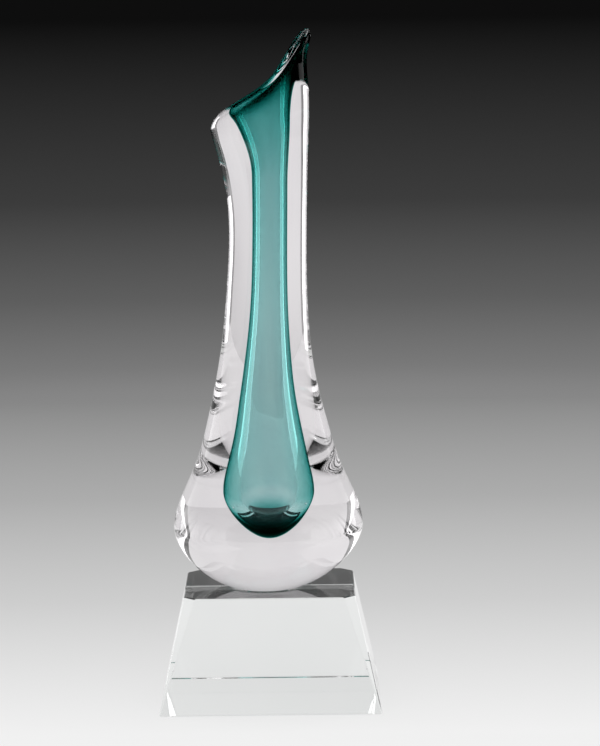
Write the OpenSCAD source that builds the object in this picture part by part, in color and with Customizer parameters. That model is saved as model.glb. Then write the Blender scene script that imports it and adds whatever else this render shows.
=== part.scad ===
// Crystal award: a hand-blown bud vase of thick clear glass over a teal inner
// layer, bonded to a tapered, four-sided block of optical crystal.
// Millimetres. +Z is up, the origin is under the centre of the block, and -Y
// is the front. The lip of the vase sweeps up to a point on the +X side.
// The vase is round at every height and its halves, front and back, match.

/* [Block] */
// Width of the underside
block_foot_w = 120; // [112:1:130]
// Depth of the underside
block_foot_d = 94; // [90:1:104]
// Width of the top, before its corners are cut
block_top_w = 92.4; // [88:0.2:98]
// Depth of the top, before its corners are cut
block_top_d = 74; // [68:0.5:80]
// Height of the block
block_h = 62; // [50:0.5:75]
// Width of each corner cut, measured along the sides of the top
corner_cut = 6.5; // [4:0.5:10]
// Width of the polished bevel round the top and the underside
arris_w = 0.5; // [0.3:0.1:0.8]

/* [Bond] */
// Radius of the adhesive disc
bond_r = 20; // [16:0.5:21]
// Thickness of the adhesive disc
bond_t = 0.5; // [0.3:0.1:1]

/* [Vase] */
// Radius of the ground flat that the vase stands on
foot_r = 22; // [21.5:0.1:24]
// Height from the ground flat to the widest part of the bulb
bulb_rise = 32; // [30:0.5:36]
// Thickness of the clear glass under the teal layer
clear_floor = 26.5; // [25:0.5:30]
// Thickness of the teal layer at the bottom of the hollow
teal_floor = 2.2; // [1.5:0.1:4]
// Thickness of the teal layer round the hollow
teal_wall = 0.4; // [0.4:0.05:0.6]

/* [Hidden] */
segs = 48;
$fn = 96;

// Heights of the ground flat and of the widest part of the bulb
foot_z = block_h + bond_t;
bulb_z = foot_z + bulb_rise;
// Sideways offset of the ground flat from the centre of the block
foot_x = -2;

// Outside of the vase. Heights are counted from the widest part of the bulb.
// Columns: height, left edge, right edge
SKIN = [
    [0, -52, 51.3], [14, -48.8, 48.6], [25, -44, 43.8], [36, -39.3, 39.1],
    [58, -32.9, 32.4], [80, -28, 27], [102, -24.2, 23.8], [135, -20.9, 22.3],
    [168, -19.5, 22.5], [190, -21.9, 23.2], [205, -25.5, 23.8], [216, -28.5, 24.2],
    [239, -30.1, 24.3], [255, -31.1, 23.7], [267, -31.6, 26.3]];
// Fullness of the rounded bottoms: 2 is an ellipse. The bulb, and the outside
// and the inside of the teal layer
bulb_power = 1.6;
hollow_power = [1.8, 2.1];

// Outside of the teal layer. Columns: height, centre, radius
TEAL = [
    [14, 0, 17], [28, 0, 15.6], [48, 0.2, 12.7], [69, 0, 10.3], [96, 0.5, 8.1],
    [124, 1.3, 6.7], [151, 2, 6.3], [176, 2.3, 6.3], [192, 2.1, 6.4]];
// Thickness of the teal layer. Columns: height, thickness
WALL = [[14, teal_wall], [124, teal_wall], [192, 1.4 * teal_wall]];

// Where the outside turns into the lip. Columns: cosine round the vase, height
LIP = [[-1, 216], [-0.5, 225], [0, 234], [0.5, 246], [0.8, 257], [1, 265]];
// Slanted surface that the lip follows. Columns: x, height
CREST = [
    [-30, 221], [-15, 229.7], [0, 239.6], [6, 245], [11, 250.4], [15, 256], [18.5, 262.2],
    [24, 272.5]];
// Mouth of the hollow: centre, half width and half depth
mouth_x = -2;
mouth_w = 11.5;
mouth_d = 10;
// Depth of the mouth's edge under the slanted surface
mouth_drop = 1.5;
// Share of the lip, from the outside, that is clear glass: at both ends of the
// mouth, and how much less of it is clear at the front and the back
clear_share = 0.5;
clear_loss = 0.35;
// Growth of the teal layer's thickness on its way up the throat, and how late
// it fills the lip
throat_gain = 0.9;
lip_fill = 18;

// Rings of each skin: below the widest part, up to the neck, and above the neck
rings_low = 9;
rings_mid = 18;
rings_top = 8;
rings_lip = 7;
// Height at which the rings start to tilt towards the lip
outer_join = 190;
inner_join = TEAL[len(TEAL) - 1][0];

// --- Curves -----------------------------------------------------------------

// Slope of column k of table t at row i, from the rows on both sides
function slope(t, k, i) =
    let (a = max(i - 1, 0), b = min(i + 1, len(t) - 1))
    (t[b][k] - t[a][k]) / (t[b][0] - t[a][0]);

// Row of table t that v falls in
function row(t, v, i = 0) = i >= len(t) - 2 || v < t[i + 1][0] ? i : row(t, v, i + 1);

// Smooth curve through column k of table t, level at its first row
function along(t, k, v, level = true) =
    let (
        i = row(t, v),
        w = t[i + 1][0] - t[i][0],
        s = (v - t[i][0]) / w,
        m0 = level && i == 0 ? 0 : slope(t, k, i),
        m1 = slope(t, k, i + 1))
    t[i][k] * (1 + 2 * s) * pow(1 - s, 2) + t[i + 1][k] * s * s * (3 - 2 * s)
        + w * s * (1 - s) * (m0 * (1 - s) - m1 * s);

// Point at share t of the cubic curve with the four points p
function bezier(p, t) =
    pow(1 - t, 3) * p[0] + 3 * t * pow(1 - t, 2) * p[1] + 3 * t * t * (1 - t) * p[2] + pow(t, 3) * p[3];

// Radius of a rounded bottom at depth d under its widest part, where it is w
function bottom_r(w, d, drop, power) = w * sqrt(max(0, 1 - pow(d / drop, power)));

// --- Skins of the vase ------------------------------------------------------
// Each gives the point at angle a on one ring, with heights from the widest part

bulb_r = (SKIN[0][2] - SKIN[0][1]) / 2;
bulb_x = (SKIN[0][2] + SKIN[0][1]) / 2;
bulb_drop = bulb_rise / pow(1 - pow(foot_r / bulb_r, 2), 1 / bulb_power);

// Point at angle a on a circle with the given centre, radius and height
function ring_point(x, r, a, h) = [x + r * cos(a), r * sin(a), h];

// Outside of the vase at height h
function skin_point(a, h) =
    let (left = along(SKIN, 1, h), right = along(SKIN, 2, h))
    h >= 0 ? ring_point((left + right) / 2, (right - left) / 2, a, h)
    : ring_point(
        bulb_x + (foot_x - bulb_x) * h / -bulb_rise,
        bottom_r(bulb_r, -h, bulb_drop, bulb_power), a, h);

// Outside of the teal layer (wall = 0) or its inside (wall = 1) at height h
function teal_point(a, h, wall) =
    let (
        widest = TEAL[0][0],
        drop = widest + bulb_rise - clear_floor - wall * teal_floor,
        bottom = h < widest,
        x = bottom ? TEAL[0][1] : along(TEAL, 1, h),
        r = bottom ? TEAL[0][2] - wall * teal_wall : along(TEAL, 2, h) - wall * along(WALL, 1, h))
    ring_point(x, bottom ? bottom_r(r, widest - h, drop, hollow_power[wall]) : r, a, h);

// Curve over the lip at angle a, from the outside to the mouth of the hollow
function lip_curve(a) =
    let (
        u = cos(a),
        tip = pow(max(u, 0), 3),
        outer = skin_point(a, along(LIP, 1, u, false)),
        x = mouth_x + mouth_w * u,
        inner = [x, mouth_d * sin(a), along(CREST, 1, x, false) - mouth_drop])
    [outer, outer + [0, 0, 5.5 + 4 * u * u + 3.5 * tip], inner + [3.5 * tip, 0, 2.5 + 13 * tip], inner];

// Share of the lip that is clear glass at angle a
function clear_to(a) = clear_share - clear_loss * pow(sin(a), 2);

// Point at share t of the way up the throat at angle a, from the neck to the edge
// of the teal layer's outside (wall = 0) or inside (wall = 1) on the lip. The
// throat opens evenly on the left, and only close under the lip at the point.
function throat_point(a, wall, t) =
    let (
        neck = teal_point(a, inner_join, 1),
        end = bezier(lip_curve(a), 1),
        right = (1 + cos(a)) / 2,
        start = 0.6 * right * right,
        out = pow(max(0, (t - start) / (1 - start)), 1.9 - 0.4 * right),
        away = end - neck,
        hollow = neck + [away.x * out, away.y * out, away.z * t],
        fill = pow(t, lip_fill))
    wall == 1 ? hollow
    : hollow + (teal_point(a, inner_join, 0) - neck) * (1 + throat_gain * t) * (1 - fill)
        + (bezier(lip_curve(a), clear_to(a)) - end) * fill;

// Heights of the rings of a rounded bottom from its pole to its widest part,
// without the pole, and heights of the rings above it
function bottom_heights(widest, drop) =
    [for (i = [1 : rings_low]) widest - drop * cos(90 * i / rings_low)];
function mid_heights(widest, join) =
    [for (i = [1 : rings_mid]) widest + (join - widest) * i / rings_mid];

// Rings of the outside, from the ground flat up to the start of the lip
function outer_rings() = [
    for (i = [0 : rings_low]) [for (a = angles()) skin_point(a, -bulb_rise * cos(90 * i / rings_low))],
    for (h = mid_heights(0, outer_join)) [for (a = angles()) skin_point(a, h)],
    for (i = [1 : rings_top]) [for (a = angles())
        skin_point(a, outer_join + (along(LIP, 1, cos(a), false) - outer_join) * i / rings_top)]];

// Share of the throat at ring i; the rings are closest under the lip
function throat_share(i) = 1 - pow(1 - i / rings_top, 1.5);

// Rings over the clear part of the lip, and over its teal part from the teal
// layer's outer edge to the mouth
function clear_lip_rings() = [
    for (i = [1 : rings_lip]) [for (a = angles()) bezier(lip_curve(a), clear_to(a) * i / rings_lip)]];
function teal_lip_rings(count) = [
    for (i = [0 : count]) [for (a = angles())
        bezier(lip_curve(a), clear_to(a) + (1 - clear_to(a)) * i / count)]];

// Rings of one side of the teal layer, from over its pole up to under the lip
function teal_rings(wall) =
    let (widest = TEAL[0][0], drop = widest + bulb_rise - clear_floor - wall * teal_floor)
    [
        for (h = bottom_heights(widest, drop)) [for (a = angles()) teal_point(a, h, wall)],
        for (h = mid_heights(widest, inner_join)) [for (a = angles()) teal_point(a, h, wall)],
        for (i = [1 : rings_top - 1]) [for (a = angles()) throat_point(a, wall, throat_share(i))]];

function angles() = [for (i = [0 : segs - 1]) 360 * i / segs];
function reversed(list) = [for (i = [len(list) - 1 : -1 : 0]) list[i]];

// Solid of a stack of rings, closed by a point under the first ring and one
// beyond the last. From ring number turned on, the four-sided cells are split
// the other way, so that two solids that share a skin meet face to face.
module ring_solid(rings, first, last, turned) {
    count = len(rings);
    points = [for (ring = rings) each ring, first, last];
    sides = [
        for (i = [0 : count - 2], j = [0 : segs - 1])
            let (a = i * segs + j, b = i * segs + (j + 1) % segs)
            each i < turned ? [[a, a + segs, b + segs], [a, b + segs, b]]
                : [[a, a + segs, b], [b, a + segs, b + segs]]];
    caps = [
        for (j = [0 : segs - 1])
            let (k = (j + 1) % segs, top = (count - 1) * segs)
            each [[count * segs, j, k], [count * segs + 1, top + k, top + j]]];
    polyhedron(points, concat(sides, caps));
}

// --- Parts ------------------------------------------------------------------

// Half-space beyond a plane that leans back by the angle tilt. The plane faces
// the direction turn, and passes the distance reach from the axis at height z.
module beyond(turn, reach, z, tilt) {
    big = 3 * block_foot_w;
    rotate([0, 0, turn]) translate([reach, 0, z]) rotate([0, -tilt, 0])
        translate([0, -big / 2, -big / 2]) cube(big);
}

module crystal_base() {
    side_lean = atan((block_foot_w - block_top_w) / 2 / block_h);
    front_lean = atan((block_foot_d - block_top_d) / 2 / block_h);
    corner_foot = (block_foot_w + block_foot_d) / 2;
    corner_top = (block_top_w + block_top_d) / 2 - corner_cut;
    // Direction, reach at the underside, reach at the top and lean of each face
    faces = [
        for (side = [0, 180]) [side, block_foot_w / 2, block_top_w / 2, side_lean],
        for (side = [90, 270]) [side, block_foot_d / 2, block_top_d / 2, front_lean]];
    color([0.9, 0.93, 0.93, 0.5])
    difference() {
        translate([-block_foot_w / 2, -block_foot_d / 2, 0])
            cube([block_foot_w, block_foot_d, block_h]);
        for (face = faces) {
            beyond(face[0], face[1], 0, face[3]);
            beyond(face[0], face[2] - arris_w, block_h, 45);
            beyond(face[0], face[1] - arris_w, 0, -45);
        }
        for (turn = [45 : 90 : 315]) {
            beyond(turn, corner_foot / sqrt(2), 0, atan((corner_foot - corner_top) / sqrt(2) / block_h));
            beyond(turn, corner_top / sqrt(2) - arris_w, block_h, 45);
        }
    }
}

module bond_pad() {
    color([0.95, 0.96, 0.9, 0.6])
    translate([foot_x, 0, block_h]) cylinder(r = bond_r, h = bond_t);
}

module clear_casing() {
    outside = concat(outer_rings(), clear_lip_rings());
    rings = concat(outside, reversed(teal_rings(0)));
    color([0.88, 0.85, 0.87, 0.4])
    translate([0, 0, bulb_z])
        ring_solid(
            rings, [foot_x, 0, -bulb_rise], [TEAL[0][1], 0, clear_floor - bulb_rise],
            len(outside) - 1);
}

module teal_liner() {
    rings = concat(teal_rings(0), teal_lip_rings(rings_lip), reversed(teal_rings(1)));
    color([0.08, 0.5, 0.5, 0.8])
    translate([0, 0, bulb_z])
        ring_solid(
            rings, [TEAL[0][1], 0, clear_floor - bulb_rise],
            [TEAL[0][1], 0, clear_floor + teal_floor - bulb_rise], len(rings));
}

crystal_base();
bond_pad();
clear_casing();
teal_liner();
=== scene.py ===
import math

import bmesh
import bpy
import numpy as np
from mathutils import Euler, Matrix, Vector

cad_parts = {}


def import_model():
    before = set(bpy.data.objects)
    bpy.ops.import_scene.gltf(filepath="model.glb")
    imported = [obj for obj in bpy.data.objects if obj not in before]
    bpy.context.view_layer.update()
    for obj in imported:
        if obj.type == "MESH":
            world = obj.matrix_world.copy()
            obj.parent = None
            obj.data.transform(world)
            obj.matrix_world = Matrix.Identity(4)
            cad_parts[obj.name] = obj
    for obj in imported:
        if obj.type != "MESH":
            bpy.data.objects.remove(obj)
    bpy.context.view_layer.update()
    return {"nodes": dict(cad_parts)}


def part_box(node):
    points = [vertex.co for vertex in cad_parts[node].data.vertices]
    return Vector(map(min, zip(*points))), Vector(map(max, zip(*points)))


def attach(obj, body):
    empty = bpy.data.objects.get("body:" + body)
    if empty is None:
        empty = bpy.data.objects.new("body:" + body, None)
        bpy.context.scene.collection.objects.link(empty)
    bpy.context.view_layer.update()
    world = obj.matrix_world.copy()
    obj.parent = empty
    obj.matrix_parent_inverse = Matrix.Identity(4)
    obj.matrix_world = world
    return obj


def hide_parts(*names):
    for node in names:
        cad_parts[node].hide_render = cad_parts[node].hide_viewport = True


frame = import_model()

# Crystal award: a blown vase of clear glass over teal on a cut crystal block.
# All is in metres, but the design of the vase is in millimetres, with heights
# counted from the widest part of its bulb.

MM = 0.001

# --- Places that the frame gives ---------------------------------------------

BLOCK_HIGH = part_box("crystal_base")[1]
PAD_LOW, PAD_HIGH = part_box("bond_pad")
PAD_X = (PAD_LOW[0] + PAD_HIGH[0]) / 2 / MM
PAD_R = PAD_HIGH[1] / MM
FOOT_Z = PAD_HIGH[2]

# --- Design of the vase, in millimetres --------------------------------------

# Height of the widest part over the foot, radius of the foot, and roundness of
# the bulb between the two
BULB_RISE = 32.0
FOOT_R = 22.0
BULB_POWER = 1.6
BULB_Z = FOOT_Z / MM + BULB_RISE
# Roundness of the teal layer under its widest part: outside, hollow
HOLLOW_POWER = (1.8, 2.1)
# Thickness of the clear glass and of the teal layer under the hollow, and of the
# teal layer round the belly
CLEAR_FLOOR = 26.5
TEAL_FLOOR = 2.2
TEAL_WALL = 0.4

# Outside of the vase: height, left edge, right edge
SKIN = np.array([
    (0, -52, 51.3), (14, -48.8, 48.6), (25, -44, 43.8), (36, -39.3, 39.1),
    (58, -32.9, 32.4), (80, -28, 27), (102, -24.2, 23.8), (135, -20.9, 22.3),
    (168, -19.5, 22.5), (190, -21.9, 23.2), (205, -25.5, 23.8), (216, -28.5, 24.2),
    (239, -30.1, 24.3), (255, -31.1, 23.7), (267, -31.6, 26.3)], dtype=float)

# Outside of the teal layer: height, centre, radius
TEAL = np.array([
    (14, 0, 17), (28, 0, 15.6), (48, 0.2, 12.7), (69, 0, 10.3), (96, 0.5, 8.1),
    (124, 1.3, 6.7), (151, 2, 6.3), (176, 2.3, 6.3), (192, 2.1, 6.4)], dtype=float)
# Thickness of the teal layer: height, thickness
WALL = np.array([(14, TEAL_WALL), (124, TEAL_WALL), (192, 1.4 * TEAL_WALL)], dtype=float)

# Start of the lip: cosine round the vase, height
LIP = np.array([
    (-1, 216), (-0.5, 225), (0, 234), (0.5, 246), (0.8, 257), (1, 265)], dtype=float)
# Slanted surface that the lip follows: x, height
CREST = np.array([
    (-30, 221), (-15, 229.7), (0, 239.6), (6, 245), (11, 250.4), (15, 256),
    (18.5, 262.2), (24, 272.5)], dtype=float)
# Mouth: middle, half its width, half its depth, and drop under the crest
MOUTH_X, MOUTH_W, MOUTH_D, MOUTH_DROP = -2.0, 11.5, 10.0, 1.5
# Handles of the curve over the lip. Upwards at its outer end: everywhere, more
# at both ends of the mouth, more at the point
LIP_UP = (5.5, 4, 3.5)
# Upwards at its inner end: everywhere, more at the point, and to the right there
LIP_OVER = (2.5, 13)
LIP_LEAN = 3.5
# Share of the way over the lip that is clear glass at the ends of the mouth, and
# what is taken off it at the front and the back
CLEAR_SHARE, CLEAR_LOSS = 0.5, 0.35
# Throat: share of its height that stays narrow under the point, power of its
# opening on the left and what the right has less, how much thicker the teal
# layer gets, and power by which it fills the lip
THROAT_START = 0.6
THROAT_POWER, THROAT_POWER_LOSS = 1.9, 0.4
THROAT_GAIN, LIP_FILL = 0.9, 18
# Heights at which the rings start to slant: outside of the vase, teal layer
OUTER_JOIN = 190.0
INNER_JOIN = TEAL[-1, 0]
# Bubbles in the clear glass: centres in millimetres from the origin of the
# frame, and radius in metres
SEEDS = [(-14.2, -9.5, 103.5), (15.2, -9, 105)]
SEED_R = 0.0004
# Gap, in metres, that keeps bonded faces from coinciding with the adhesive's
BOND_GAP = 0.00003
# Gap between the hollow's surface and the coloured layer, so that the two
# surfaces never coincide
FILM = 0.06

# Points of a ring, and numbers of rings: in a rounded bottom, in a long side,
# up to the lip, over the lip, over its teal part, and in the throat
SEGS = 192
LOW_RINGS, SIDE_RINGS, RISE_RINGS, LIP_RINGS, SUNK_RINGS, THROAT_RINGS = 40, 150, 50, 48, 24, 60
# Points round a flat disc
DISC_SEGS = 96


# --- Curves -------------------------------------------------------------------

class Spline:
    """Natural cubic curve through the columns of a table, clamped level at its
    first row when level is true."""

    def __init__(self, table, column, level=False):
        self.x = table[:, 0]
        self.y = table[:, column]
        n = len(self.x)
        h = np.diff(self.x)
        system = np.zeros((n, n))
        right = np.zeros(n)
        system[0, 0] = system[-1, -1] = 1
        if level:
            system[0, :2] = 2 * h[0], h[0]
            right[0] = 6 * (self.y[1] - self.y[0]) / h[0]
        for i in range(1, n - 1):
            system[i, i - 1:i + 2] = h[i - 1], 2 * (h[i - 1] + h[i]), h[i]
            slopes = (self.y[i + 1] - self.y[i]) / h[i], (self.y[i] - self.y[i - 1]) / h[i - 1]
            right[i] = 6 * (slopes[0] - slopes[1])
        self.m = np.linalg.solve(system, right)

    def __call__(self, v):
        v = np.asarray(v, dtype=float)
        i = np.clip(np.searchsorted(self.x, v) - 1, 0, len(self.x) - 2)
        h = self.x[i + 1] - self.x[i]
        a = (self.x[i + 1] - v) / h
        b = (v - self.x[i]) / h
        return (a * self.y[i] + b * self.y[i + 1]
                + ((a ** 3 - a) * self.m[i] + (b ** 3 - b) * self.m[i + 1]) * h * h / 6)


skin_left = Spline(SKIN, 1, level=True)
skin_right = Spline(SKIN, 2, level=True)
teal_centre = Spline(TEAL, 1, level=True)
teal_radius = Spline(TEAL, 2, level=True)
wall_at = Spline(WALL, 1, level=True)
lip_start = Spline(LIP, 1)
crest_at = Spline(CREST, 1)

ANGLES = np.linspace(0, 2 * np.pi, SEGS, endpoint=False)
COS, SIN = np.cos(ANGLES), np.sin(ANGLES)
# At every angle: weight of the lip's point, and share of the lip that is clear
TIP = np.maximum(COS, 0) ** 3
CLEAR_TO = CLEAR_SHARE - CLEAR_LOSS * SIN ** 2
# Radius and middle of the bulb, and depth at which its curve would close
BULB_R = (SKIN[0, 2] - SKIN[0, 1]) / 2
BULB_X = (SKIN[0, 2] + SKIN[0, 1]) / 2
BULB_DROP = BULB_RISE / (1 - (FOOT_R / BULB_R) ** 2) ** (1 / BULB_POWER)


def ring(x, r, h):
    """Ring of points; x, r and h are numbers or one value per angle."""
    return np.stack([x + r * COS, r * SIN, h + 0 * COS], axis=1)


def bezier(p, t):
    """Points of cubic curves at one share t per angle; p holds the curves' four
    rings."""
    t = t[:, None]
    s = 1 - t
    return s ** 3 * p[0] + 3 * t * s ** 2 * p[1] + 3 * t * t * s * p[2] + t ** 3 * p[3]


def skin_ring(h):
    """Outside of the vase at height h, a number or one value per angle."""
    if np.max(h) < 0:
        r = BULB_R * math.sqrt(1 - (-h / BULB_DROP) ** BULB_POWER)
        return ring(BULB_X + (PAD_X - BULB_X) * h / -BULB_RISE, r, h)
    left, right = skin_left(h), skin_right(h)
    return ring((left + right) / 2, (right - left) / 2, h)


def hollow_drop(wall):
    """Height from the pole of the teal layer (wall 0), or of the hollow inside it
    (wall 1), up to the layer's widest part."""
    return TEAL[0, 0] + BULB_RISE - CLEAR_FLOOR - wall * TEAL_FLOOR


def teal_ring(h, wall):
    """Outside of the teal layer (wall 0) or the hollow inside it (wall 1)."""
    if h < TEAL[0, 0]:
        r = TEAL[0, 2] - wall * TEAL_WALL
        depth = (TEAL[0, 0] - h) / hollow_drop(wall)
        return ring(TEAL[0, 1], r * math.sqrt(max(0, 1 - depth ** HOLLOW_POWER[wall])), h)
    return ring(teal_centre(h), teal_radius(h) - wall * wall_at(h), h)


def lip_curve():
    """Rings of the four points that shape the curve over the lip, from the
    outside to the mouth."""
    outer = skin_ring(lip_start(COS))
    x = MOUTH_X + MOUTH_W * COS
    inner = np.stack([x, MOUTH_D * SIN, crest_at(x) - MOUTH_DROP], axis=1)
    up = np.zeros((SEGS, 3))
    up[:, 2] = LIP_UP[0] + LIP_UP[1] * COS ** 2 + LIP_UP[2] * TIP
    lean = np.zeros((SEGS, 3))
    lean[:, 0] = LIP_LEAN * TIP
    lean[:, 2] = LIP_OVER[0] + LIP_OVER[1] * TIP
    return outer, outer + up, inner + lean, inner


LIP_CURVE = lip_curve()


def lip_ring(share):
    """Ring at a share of the way over the lip, a number or one value per angle."""
    return bezier(LIP_CURVE, share + 0 * COS)


def throat_ring(wall, t):
    """Ring at share t of the throat, from the neck to the mouth (wall 1), or to
    the edge of the teal layer on the lip (wall 0). The throat opens evenly on
    the left, and only close under the lip at the point. The teal layer gets
    thicker on its way up, and fills its part of the lip at the end."""
    neck = teal_ring(INNER_JOIN, 1)
    end = lip_ring(1)
    right = (1 + COS) / 2
    start = THROAT_START * right * right
    power = THROAT_POWER - THROAT_POWER_LOSS * right
    out = np.maximum(0, (t - start) / (1 - start)) ** power
    moved = neck + (end - neck) * out[:, None]
    moved[:, 2] = neck[:, 2] + (end[:, 2] - neck[:, 2]) * t
    if wall == 0:
        fill = t ** LIP_FILL
        moved += (teal_ring(INNER_JOIN, 0) - neck) * (1 + THROAT_GAIN * t) * (1 - fill)
        moved += (lip_ring(CLEAR_TO) - end) * fill
    return moved


def outer_rings():
    """Outside of the vase from the edge of the ground flat up to the lip."""
    low = [
        skin_ring(-BULB_RISE * math.cos(math.pi / 2 * i / LOW_RINGS)) for i in range(LOW_RINGS)]
    mid = [skin_ring(h) for h in np.linspace(0, OUTER_JOIN, SIDE_RINGS)]
    slant = lip_start(COS) - OUTER_JOIN
    top = [skin_ring(OUTER_JOIN + slant * i / RISE_RINGS) for i in range(1, RISE_RINGS)]
    return low + mid + top


def lip_rings():
    """From the outside of the vase over the lip to the mouth."""
    return [lip_ring(i / LIP_RINGS) for i in range(LIP_RINGS + 1)]


def sunk_lip_rings():
    """The teal layer's side of the lip, just under the surface."""
    rings = []
    step = 0.01
    for i in range(SUNK_RINGS + 1):
        share = CLEAR_TO + (1 - CLEAR_TO) * i / SUNK_RINGS
        ring_now = lip_ring(share)
        over = lip_ring(np.minimum(share + step, 1)) - lip_ring(share - step)
        round_it = np.roll(ring_now, -1, axis=0) - np.roll(ring_now, 1, axis=0)
        normal = np.cross(round_it, over)
        normal /= np.linalg.norm(normal, axis=1, keepdims=True)
        rings.append(ring_now - normal * FILM * 2)
    return rings


def teal_rings(wall):
    """One side of the teal layer, from over its pole up the throat."""
    widest, drop = TEAL[0, 0], hollow_drop(wall)
    low = [
        teal_ring(widest - drop * math.cos(math.pi / 2 * i / LOW_RINGS), wall)
        for i in range(1, LOW_RINGS)]
    mid = [teal_ring(h, wall) for h in np.linspace(widest, INNER_JOIN, SIDE_RINGS)]
    top = [throat_ring(wall, i / THROAT_RINGS) for i in range(1, THROAT_RINGS)]
    return low + mid + top


# --- Meshes -------------------------------------------------------------------

def ring_mesh(name, rings, first, last, material, bottom_material=None):
    """Closed smooth mesh over a stack of rings with a pole at both ends. The
    facets round the first pole can have a material of their own."""
    count = len(rings)
    points = np.concatenate(rings + [np.array([first, last], dtype=float)])
    points[:, 2] += BULB_Z
    points *= MM
    j = np.arange(SEGS)
    k = (j + 1) % SEGS
    quads = []
    for i in range(count - 1):
        a, b = i * SEGS, (i + 1) * SEGS
        quads.append(np.stack([a + j, a + k, b + k, b + j], axis=1))
    faces = np.concatenate(quads).tolist()
    low, high, top = count * SEGS, count * SEGS + 1, (count - 1) * SEGS
    bottom = len(faces)
    faces += [(low, int(n), int(m)) for m, n in zip(j, k)]
    faces += [(high, top + int(m), top + int(n)) for m, n in zip(j, k)]
    mesh = bpy.data.meshes.new(name)
    mesh.from_pydata(points.tolist(), [], faces)
    mesh.shade_smooth()
    mesh.materials.append(material)
    if bottom_material:
        mesh.materials.append(bottom_material)
        for face in mesh.polygons[bottom:bottom + SEGS]:
            face.material_index = 1
    obj = bpy.data.objects.new(name, mesh)
    bpy.context.collection.objects.link(obj)
    return obj


# --- Materials ----------------------------------------------------------------

# Refraction, two tints between which the streaks go, and number of streaks to
# the metre along each axis. Light goes straight on through the coloured layer,
# the adhesive and the faces that are bonded to it.
GLASSES = {
    "clear_blown_glass": (1.5, (0.93, 0.905, 0.92), (0.88, 0.85, 0.875), (60, 60, 12)),
    "teal_colour_glass": (1.0, (1, 1, 1), (0.95, 0.98, 0.98), (120, 120, 15)),
    "optical_crystal": (1.52, (0.98, 0.99, 0.985), (0.96, 0.975, 0.97), (25, 25, 25)),
    "bonded_glass": (1.0, (1, 1, 1), (0.97, 0.98, 0.97), (150, 150, 150)),
    "clear_adhesive": (1.0, (1, 1, 1), (0.94, 0.96, 0.93), (400, 400, 400)),
}
# Range of the noise over which the tint changes, and detail of the noise
STREAK_RANGE, STREAK_DETAIL = (0.3, 0.7), 2.0
# Height of the ripples of the blown glass, in metres
RIPPLE = 0.00004
# Colour that the teal layer lets through, and how strongly it takes the rest
TEAL_COLOUR, TEAL_DENSITY = (0.05, 0.65, 0.62), 1450.0


class Tree:
    """Short way to add nodes to a node tree."""

    def __init__(self, owner):
        owner.use_nodes = True
        self.tree = owner.node_tree
        self.tree.nodes.clear()

    def node(self, kind, **settings):
        node = self.tree.nodes.new(kind)
        for key, value in settings.items():
            setattr(node, key, value)
        return node

    def link(self, source, target):
        self.tree.links.new(source, target)

    def math(self, operation, a, b=0.0):
        """Result of a Math node; a and b are numbers or sockets."""
        node = self.node("ShaderNodeMath", operation=operation)
        for socket, value in zip(node.inputs, (a, b)):
            if isinstance(value, (int, float)):
                socket.default_value = value
            else:
                self.link(value, socket)
        return node.outputs[0]

    def between(self, value, low, high, to_low=0.0, to_high=1.0, smooth=True):
        """Map value from low..high to to_low..to_high."""
        kind = "SMOOTHSTEP" if smooth else "LINEAR"
        node = self.node("ShaderNodeMapRange", interpolation_type=kind)
        self.link(value, node.inputs["Value"])
        node.inputs["From Min"].default_value = low
        node.inputs["From Max"].default_value = high
        node.inputs["To Min"].default_value = to_low
        node.inputs["To Max"].default_value = to_high
        return node.outputs["Result"]

    def mix(self, share, first, second):
        """Shader that goes from first to second as share goes from 0 to 1."""
        node = self.node("ShaderNodeMixShader")
        self.link(share, node.inputs[0])
        self.link(first, node.inputs[1])
        self.link(second, node.inputs[2])
        return node.outputs[0]

    def parts(self, socket):
        """The x, y and z of a place or a direction."""
        node = self.node("ShaderNodeSeparateXYZ")
        self.link(socket, node.inputs[0])
        return node.outputs

    def finish(self, shader, kind="ShaderNodeOutputMaterial"):
        """Output node with the shader on its surface."""
        node = self.node(kind)
        self.link(shader, node.inputs["Surface"])
        return node

    def ramp(self, stops):
        """Colour ramp through greys: place from 0 to 1, linear value."""
        node = self.node("ShaderNodeValToRGB")
        elements = node.color_ramp.elements
        elements.remove(elements[1])
        for i, (place, value) in enumerate(stops):
            if i == 0:
                elements[0].position = place
            element = elements[0] if i == 0 else elements.new(place)
            element.color = (value, value, value, 1)
        return node


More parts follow.
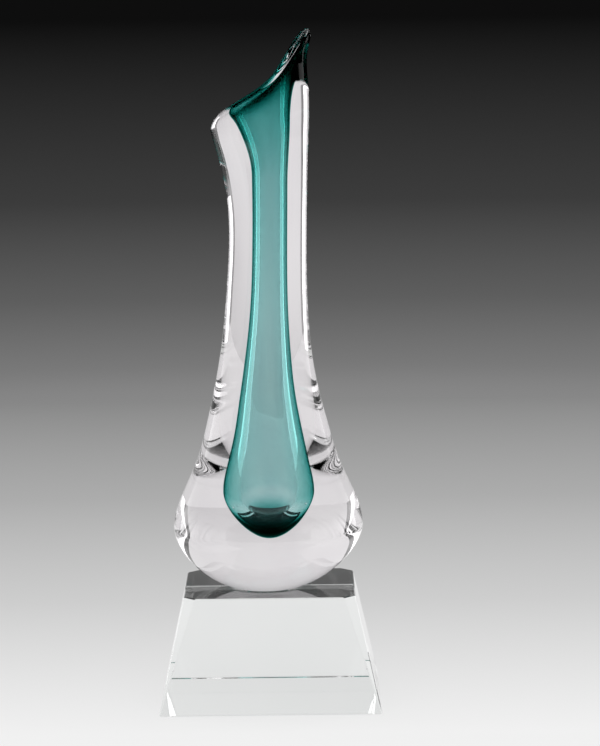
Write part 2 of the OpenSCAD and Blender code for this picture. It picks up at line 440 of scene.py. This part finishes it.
def glass_material(name, ripple=0.0, colour=None, density=0.0):
    """Glass with faint streaks between two tints. It can have ripples, and can
    absorb all but one colour along the way through it."""
    ior, light, dark, streaks = GLASSES[name]
    material = bpy.data.materials.new(name)
    t = Tree(material)
    shader = t.node("ShaderNodeBsdfPrincipled")
    shader.inputs["Roughness"].default_value = 0.0
    shader.inputs["IOR"].default_value = ior
    shader.inputs["Transmission Weight"].default_value = 1.0
    out = t.finish(shader.outputs[0])
    place = t.node("ShaderNodeTexCoord")
    scaled = t.node("ShaderNodeVectorMath", operation="MULTIPLY")
    scaled.inputs[1].default_value = streaks
    t.link(place.outputs["Object"], scaled.inputs[0])
    noise = t.node("ShaderNodeTexNoise")
    noise.inputs["Scale"].default_value = 1.0
    noise.inputs["Detail"].default_value = STREAK_DETAIL
    t.link(scaled.outputs[0], noise.inputs["Vector"])
    tint = t.node("ShaderNodeMix", data_type="RGBA")
    t.link(t.between(noise.outputs["Fac"], *STREAK_RANGE), tint.inputs["Factor"])
    tint.inputs["A"].default_value = (*light, 1)
    tint.inputs["B"].default_value = (*dark, 1)
    t.link(tint.outputs["Result"], shader.inputs["Base Color"])
    if ripple:
        bump = t.node("ShaderNodeBump")
        bump.inputs["Strength"].default_value = 1.0
        bump.inputs["Distance"].default_value = ripple
        t.link(noise.outputs["Fac"], bump.inputs["Height"])
        t.link(bump.outputs["Normal"], shader.inputs["Normal"])
    if density:
        absorb = t.node("ShaderNodeVolumeAbsorption")
        absorb.inputs["Color"].default_value = (*colour, 1)
        absorb.inputs["Density"].default_value = density
        t.link(absorb.outputs[0], out.inputs["Volume"])
    return material


# --- Vase ----------------------------------------------------------------------

def vase_glass():
    """The whole glass body of the vase, hollow at the mouth."""
    bonded = ring(PAD_X, PAD_R, -BULB_RISE)
    rings = [bonded] + outer_rings() + lip_rings() + teal_rings(1)[::-1]
    bottom = CLEAR_FLOOR + TEAL_FLOOR - BULB_RISE
    body = ring_mesh(
        "vase_glass", rings, (PAD_X, 0, -BULB_RISE), (TEAL[0, 1], 0, bottom),
        glass_material("clear_blown_glass", ripple=RIPPLE), glass_material("bonded_glass"))
    for vert in body.data.vertices:
        if vert.co.z < FOOT_Z + BOND_GAP:
            vert.co.z = FOOT_Z + BOND_GAP
    seeds(body.data)
    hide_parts("clear_casing")
    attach(body, "root")


def seeds(mesh):
    """Two tiny bubbles in the clear glass beside the teal layer."""
    bm = bmesh.new()
    bm.from_mesh(mesh)
    for centre in SEEDS:
        made = bmesh.ops.create_icosphere(
            bm, subdivisions=3, radius=SEED_R, matrix=Matrix.Translation(Vector(centre) * MM))
        faces = {face for vert in made["verts"] for face in vert.link_faces}
        bmesh.ops.reverse_faces(bm, faces=list(faces))
        for face in faces:
            face.smooth = True
    bm.to_mesh(mesh)
    bm.free()


def teal_layer():
    """The coloured layer round the hollow, inside the glass body."""
    outer = teal_rings(0) + sunk_lip_rings()
    inner = [grow(r, FILM) for r in teal_rings(1)]
    pole = CLEAR_FLOOR - BULB_RISE
    glass = glass_material("teal_colour_glass", colour=TEAL_COLOUR, density=TEAL_DENSITY)
    layer = ring_mesh(
        "teal_layer", outer + inner[::-1], (TEAL[0, 1], 0, pole),
        (TEAL[0, 1], 0, pole + TEAL_FLOOR - FILM), glass)
    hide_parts("teal_liner")
    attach(layer, "root")


def grow(points, by):
    """Ring moved outwards by a small distance, and down by half of it."""
    centre = (points.max(axis=0) + points.min(axis=0)) / 2
    away = points - centre
    away[:, 2] = 0
    length = np.maximum(np.linalg.norm(away, axis=1, keepdims=True), 1e-6)
    moved = points + away / length * by
    moved[:, 2] -= by / 2
    return moved


# --- Block -----------------------------------------------------------------------

# Width of the polished bevel on the edges, width of the cut corners at the top,
# and size of the block at its underside and its top
ARRIS = 0.0005
CORNER_CUT = 0.0065
BLOCK_FOOT = (0.1198, 0.0938)
BLOCK_TOP = (0.0924, 0.074)


def block():
    """Tapered block with cut corners; the disc in its top, where the adhesive
    is, has a material of its own."""
    foot_x, foot_y = BLOCK_FOOT[0] / 2, BLOCK_FOOT[1] / 2
    top_x, top_y = BLOCK_TOP[0] / 2, BLOCK_TOP[1] / 2
    height = BLOCK_HIGH[2] - BOND_GAP
    mesh = bpy.data.meshes.new("crystal_block")
    bm = bmesh.new()
    low, high = [], []
    for sx, sy in ((-1, -1), (1, -1), (1, 1), (-1, 1)):
        low.append(bm.verts.new((sx * foot_x, sy * foot_y, 0)))
        first = (sx * top_x, sy * (top_y - CORNER_CUT), height)
        second = (sx * (top_x - CORNER_CUT), sy * top_y, height)
        pair = (first, second) if sx * sy > 0 else (second, first)
        high.append([bm.verts.new(p) for p in pair])
    bm.faces.new(low[::-1])
    bm.faces.new([v for pair in high for v in pair])
    for i in range(4):
        j = (i + 1) % 4
        bm.faces.new((low[i], low[j], high[j][0], high[i][1]))
        bm.faces.new((low[i], high[i][1], high[i][0]))
    bmesh.ops.recalc_face_normals(bm, faces=bm.faces)
    bmesh.ops.bevel(
        bm, geom=bm.edges[:], offset=ARRIS, segments=1, profile=0.5, affect="EDGES",
        clamp_overlap=True)
    bm.normal_update()
    top = max(bm.faces, key=lambda face: face.normal.z * face.calc_area())
    edges = list(top.edges)
    bm.faces.remove(top)
    disc_place = Matrix.Translation((PAD_X * MM, 0, height))
    made = bmesh.ops.create_circle(
        bm, cap_ends=True, radius=PAD_R * MM, segments=DISC_SEGS, matrix=disc_place)
    bonded = made["verts"][0].link_faces[0]
    bonded.material_index = 1
    bmesh.ops.triangle_fill(bm, edges=edges + list(bonded.edges), use_beauty=True)
    bmesh.ops.recalc_face_normals(bm, faces=bm.faces)
    bm.to_mesh(mesh)
    bm.free()
    mesh.materials.append(glass_material("optical_crystal"))
    mesh.materials.append(glass_material("bonded_glass"))
    obj = bpy.data.objects.new("crystal_block", mesh)
    bpy.context.collection.objects.link(obj)
    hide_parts("crystal_base")
    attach(obj, "root")


def pad():
    """Film of adhesive between the flat of the vase and the top of the block."""
    obj = frame["nodes"]["bond_pad"]
    obj.data.materials.clear()
    obj.data.materials.append(glass_material("clear_adhesive"))


# --- Studio ----------------------------------------------------------------------

# Place of the camera, its lens and sensor in millimetres, and the degrees by
# which it looks down and is turned about its own axis
CAMERA_RIGHT, CAMERA_BACK, CAMERA_HEIGHT = 0.0179, 1.497, 0.3982
LENS, SENSOR = 134.4, 36.0
LOOK_DOWN, ROLL = 8.35, -0.69


def camera():
    data = bpy.data.cameras.new("camera")
    data.sensor_width = SENSOR
    data.sensor_fit = "AUTO"
    data.lens = LENS
    obj = bpy.data.objects.new("camera", data)
    bpy.context.collection.objects.link(obj)
    obj.location = (CAMERA_RIGHT, -CAMERA_BACK, CAMERA_HEIGHT)
    tilt = Euler((math.radians(90 - LOOK_DOWN), 0, 0)).to_matrix()
    roll = Euler((0, 0, math.radians(ROLL))).to_matrix()
    obj.rotation_euler = (tilt @ roll).to_euler()
    bpy.context.scene.camera = obj


def grey(value):
    """Linear value of a display grey from 0 to 255."""
    v = value / 255
    return v / 12.92 if v <= 0.04045 else ((v + 0.055) / 1.055) ** 2.4


# Tone of the background as the camera sees it: elevation, display grey
BACKGROUND = [
    (-15.7, 239), (-13, 203), (-10.9, 169), (-8.9, 132), (-6.8, 94), (-4.8, 60), (-1.1, 14)]
# Range of elevations of its ramp
BACKGROUND_LOW, BACKGROUND_HIGH = -17.0, 0.0
# Glow of the room, low down at the back and round the camera: strength, degrees
# from straight back between which it fades, degrees of elevation between which
# it fades
GAP_GLOW, GAP_SIDE, GAP_RISE = 0.4, (62, 70), (5, 12)
FRONT_GLOW, FRONT_SIDE, FRONT_RISE = 0.9, (120, 140), (45, 60)
DARK_ROOM = 0.004


def world():
    """Backdrop for the camera, and a dark room with dim glows for all else."""
    w = bpy.data.worlds.new("studio")
    bpy.context.scene.world = w
    t = Tree(w)
    x, y, z = t.parts(t.node("ShaderNodeTexCoord").outputs["Generated"])
    elevation = t.math("MULTIPLY", t.math("ARCSINE", z), 180 / math.pi)
    azimuth = t.math("MULTIPLY", t.math("ARCTAN2", x, y), 180 / math.pi)
    side = t.math("ABSOLUTE", azimuth)

    # The glow in front only shows through the glass
    seen = t.node("ShaderNodeLightPath")
    gap = t.math(
        "MULTIPLY", t.between(side, *GAP_SIDE, GAP_GLOW, 0), t.between(elevation, *GAP_RISE, 1, 0))
    front = t.math(
        "MULTIPLY", t.between(side, *FRONT_SIDE), t.between(elevation, *FRONT_RISE, FRONT_GLOW, 0))
    front = t.math("MULTIPLY", front, seen.outputs["Is Transmission Ray"])
    total = t.math("ADD", t.math("ADD", gap, front), DARK_ROOM)

    low, high = BACKGROUND_LOW, BACKGROUND_HIGH
    ramp = t.ramp([((angle - low) / (high - low), grey(value)) for angle, value in BACKGROUND])
    t.link(t.between(elevation, low, high, smooth=False), ramp.inputs[0])

    backdrop = t.node("ShaderNodeBackground")
    t.link(ramp.outputs["Color"], backdrop.inputs["Color"])
    room = t.node("ShaderNodeBackground")
    t.link(total, room.inputs["Strength"])
    both = t.mix(seen.outputs["Is Camera Ray"], room.outputs[0], backdrop.outputs[0])
    t.finish(both, "ShaderNodeOutputWorld")


# Radius of the floor and radius up to which it shows through the glass, the
# share of each at which it starts to fade, and its depth under the block
FLOOR_R, LIT_R = 1.3, 0.75
FLOOR_FADE, LIT_FADE = 0.75, 0.9
FLOOR_DROP = 0.0002
# Tone of the floor through the glass, under the block and beside it. Under the block a shadow is
# painted into the glow, which is nearly dark there. This painted shadow is a little narrower than
# the block, and its edge is this wide
UNDER_SHADOW_TONE, BESIDE_TONE = 0.02, 0.76
UNDER_SHADOW_WIDTH = 0.95
UNDER_SHADOW_EDGE = (0.985, 1.01)
# Colour of the floor's paint, what the overhead light adds to the tone of the
# floor, and height, size and power of that light
PAINT = 0.06
PAINT_TONE = 0.055
OVERHEAD, OVERHEAD_SIZE, OVERHEAD_POWER = 1.8, 1.6, 48
# White cards that stand round the object: distance to the sides and to the
# back, which is half the back card's width too, nearest and farthest y of the
# side cards, and heights
CARD_X, CARD_Y, CARD_NEAR, CARD_FAR = 0.42, 0.5, -0.35, 0.34
CARD_TOPS, BACK_TOP = (0.48, 0.32), 0.6
# Along y a side card, and along x the back card, goes from one tone to another
SIDE_SPAN, SIDE_TONES = (0.18, 0.28), (1.3, 2.4)
BACK_SPAN, BACK_TONES = (-0.4, 0.4), (0.86, 0.78)
# Share of a card's tone in reflections, which fades between two heights
SIDE_MIRRORED, BACK_MIRRORED = 1.0, 0.6
MIRROR_FADE = (0.1, 0.26)
# Share of its tone that a card has at its foot, and the heights between which
# it gets to all of it
CARD_FOOT_TONE, CARD_RISE = 0.88, (0.04, 0.2)


def disc(name, radius):
    """Flat disc."""
    mesh = bpy.data.meshes.new(name)
    bm = bmesh.new()
    bmesh.ops.create_circle(bm, cap_ends=True, radius=radius, segments=DISC_SEGS)
    bm.to_mesh(mesh)
    bm.free()
    obj = bpy.data.objects.new(name, mesh)
    bpy.context.collection.objects.link(obj)
    return obj


def floor_tones():
    """Glow of the floor along y, which gives it the same tone as the background
    that it runs into."""
    tones = []
    for angle, value in BACKGROUND:
        y = CAMERA_HEIGHT / math.tan(math.radians(-angle)) - CAMERA_BACK
        if y < FLOOR_R:
            tones.append((y, grey(value) - PAINT_TONE / (1 + (y / OVERHEAD) ** 2) ** 2))
    return tones


def floor():
    """Pale floor, darker towards the back. Through the glass it glows evenly round the block, and
    a shadow is painted under the block, where the glow is nearly dark."""
    obj = disc("studio_floor", FLOOR_R)
    obj.location = (0, 0, -FLOOR_DROP)
    material = bpy.data.materials.new("pale_floor")
    t = Tree(material)
    place = t.node("ShaderNodeTexCoord").outputs["Object"]
    axes = t.parts(place)
    # Painted shadow: through the glass the floor's glow falls to a dark tone under the block, with
    # a soft edge
    across = t.math("DIVIDE", t.math("ABSOLUTE", axes[0]), UNDER_SHADOW_WIDTH * BLOCK_HIGH[0])
    along = t.math("DIVIDE", t.math("ABSOLUTE", axes[1]), BLOCK_FOOT[1] / 2)
    beside = t.between(t.math("MAXIMUM", across, along), *UNDER_SHADOW_EDGE, UNDER_SHADOW_TONE, BESIDE_TONE)
    through = t.node("ShaderNodeEmission")
    t.link(beside, through.inputs["Strength"])

    tones = floor_tones()
    low, high = tones[0][0], tones[-1][0]
    ramp = t.ramp([((y - low) / (high - low), tone) for y, tone in tones])
    t.link(t.between(axes[1], low, high, smooth=False), ramp.inputs[0])
    direct = t.node("ShaderNodeEmission")
    t.link(ramp.outputs["Color"], direct.inputs["Color"])

    seen = t.node("ShaderNodeLightPath").outputs["Is Camera Ray"]
    glow = t.mix(seen, through.outputs[0], direct.outputs[0])
    paint = t.node("ShaderNodeBsdfDiffuse")
    paint.inputs["Color"].default_value = (PAINT, PAINT, PAINT, 1)
    both = t.node("ShaderNodeAddShader")
    t.link(glow, both.inputs[0])
    t.link(paint.outputs[0], both.inputs[1])

    length = t.node("ShaderNodeVectorMath", operation="LENGTH")
    t.link(place, length.inputs[0])
    radius = length.outputs["Value"]
    lit_end = t.between(radius, LIT_FADE * LIT_R, LIT_R)
    far_end = t.between(radius, FLOOR_FADE * FLOOR_R, FLOOR_R)
    far_end = t.math("MULTIPLY", far_end, seen)
    lit_end = t.math("MULTIPLY", lit_end, t.math("SUBTRACT", 1.0, seen))
    clear = t.node("ShaderNodeBsdfTransparent")
    t.finish(t.mix(t.math("ADD", lit_end, far_end), both.outputs[0], clear.outputs[0]))
    obj.data.materials.append(material)


def card(name, corners, axis, span, tones, mirrored):
    """Lit card that shows through the glass, and with its lower part in its
    reflections; its tone changes along one axis."""
    material = bpy.data.materials.new(name)
    t = Tree(material)
    axes = t.parts(t.node("ShaderNodeTexCoord").outputs["Object"])
    seen = t.node("ShaderNodeLightPath")
    low = t.between(axes[2], *MIRROR_FADE, mirrored, 0)
    full = t.math("MAXIMUM", low, seen.outputs["Is Transmission Ray"])
    glow = t.node("ShaderNodeEmission")
    tone = t.between(axes[axis], *span, *tones)
    rise = t.between(axes[2], *CARD_RISE, CARD_FOOT_TONE, 1)
    t.link(t.math("MULTIPLY", t.math("MULTIPLY", tone, rise), full), glow.inputs["Strength"])
    t.finish(glow.outputs[0])
    mesh = bpy.data.meshes.new(name)
    mesh.from_pydata(corners, [], [(0, 1, 2, 3)])
    mesh.materials.append(material)
    obj = bpy.data.objects.new(name, mesh)
    bpy.context.collection.objects.link(obj)
    obj.visible_camera = False
    obj.visible_diffuse = False
    obj.visible_shadow = False


def cards():
    """Cards to the left and the right of the object, and behind it."""
    for name, x, top in zip(("card_left", "card_right"), (-CARD_X, CARD_X), CARD_TOPS):
        sides = [(x, y, z) for y, z in (
            (CARD_NEAR, 0), (CARD_FAR, 0), (CARD_FAR, top), (CARD_NEAR, top))]
        card(name, sides, 1, SIDE_SPAN, SIDE_TONES, SIDE_MIRRORED)
    back = [(x, CARD_Y, z) for x, z in (
        (-CARD_Y, 0), (CARD_Y, 0), (CARD_Y, BACK_TOP), (-CARD_Y, BACK_TOP))]
    card("card_back", back, 0, BACK_SPAN, BACK_TONES, BACK_MIRRORED)


def lights():
    """Large light overhead, which doesn't show in the glass."""
    data = bpy.data.lights.new("overhead", "AREA")
    data.shape = "SQUARE"
    data.size = OVERHEAD_SIZE
    data.energy = OVERHEAD_POWER
    obj = bpy.data.objects.new("overhead", data)
    bpy.context.collection.objects.link(obj)
    obj.location = (0, 0, OVERHEAD)
    obj.visible_camera = False
    obj.visible_glossy = False
    obj.visible_transmission = False


# Bounces that light can make in all and through glass, and off glass
GLASS_BOUNCES, MIRROR_BOUNCES = 32, 16


def look():
    """Plain display tones, and enough bounces for glass in glass."""
    scene = bpy.context.scene
    scene.view_settings.view_transform = "Standard"
    scene.cycles.max_bounces = GLASS_BOUNCES
    scene.cycles.transmission_bounces = GLASS_BOUNCES
    scene.cycles.glossy_bounces = MIRROR_BOUNCES
    scene.cycles.transparent_max_bounces = MIRROR_BOUNCES


camera()
world()
floor()
cards()
lights()
look()
vase_glass()
teal_layer()
block()
pad()
